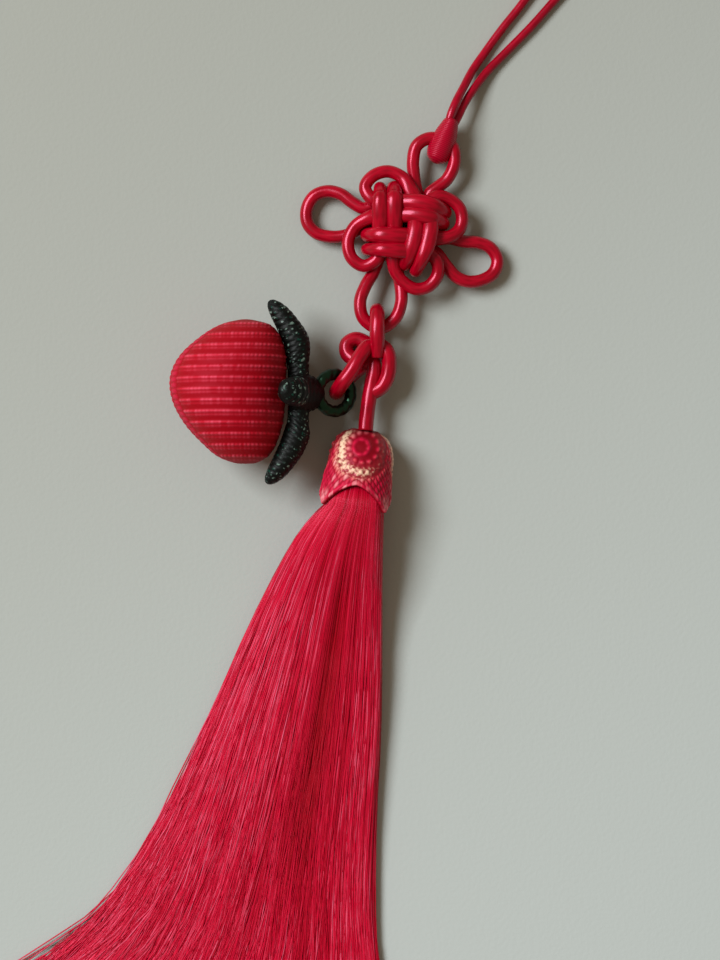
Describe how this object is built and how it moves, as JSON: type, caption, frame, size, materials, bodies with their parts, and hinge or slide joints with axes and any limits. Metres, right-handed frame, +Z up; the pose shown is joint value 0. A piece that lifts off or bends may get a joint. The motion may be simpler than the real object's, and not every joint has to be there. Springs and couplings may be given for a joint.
{
  "type": "knotted cord tassel charm",
  "caption": "Good-luck knot of satin cord with a hanging loop, a small ribbed fruit charm on a green ring, and a long fanned silk tassel under a woven cap",
  "frame": {"origin": "middle of the object's footprint on the surface that it lies on, without its hanging cord", "axes": "+Z up from the surface, +Y from the tassel to the hanging cord, +X to the right of the knot's face"},
  "size_m": [0.1335, 0.2645, 0.0226],
  "materials": {
    "hang_cord": "thin braided satin cord",
    "silk_wrap": "close wound silk thread",
    "satin_cord": "round satin knotting cord",
    "green_cord": "dark green cord",
    "red_weave": "close rows of knots in satin thread",
    "green_weave": "nearly black green knotting with glitter thread",
    "cap_weave": "red knotting with dull gold outlines",
    "silk_thread": "loose silky thread"
  },
  "bodies": {
    "root": {"hang_cord": "hang_cord", "neck_wrap": "silk_wrap", "lucky_knot": "satin_cord", "link_knot": "satin_cord", "fruit_ring": "green_cord", "fruit_body": "red_weave", "calyx_hub": "green_weave", "leaf_upper": "green_weave", "leaf_front": "green_weave", "leaf_lower": "green_weave", "leaf_under": "green_weave", "tassel_cap": "cap_weave", "tassel_skirt": "silk_thread"}
  },
  "joints": []
}
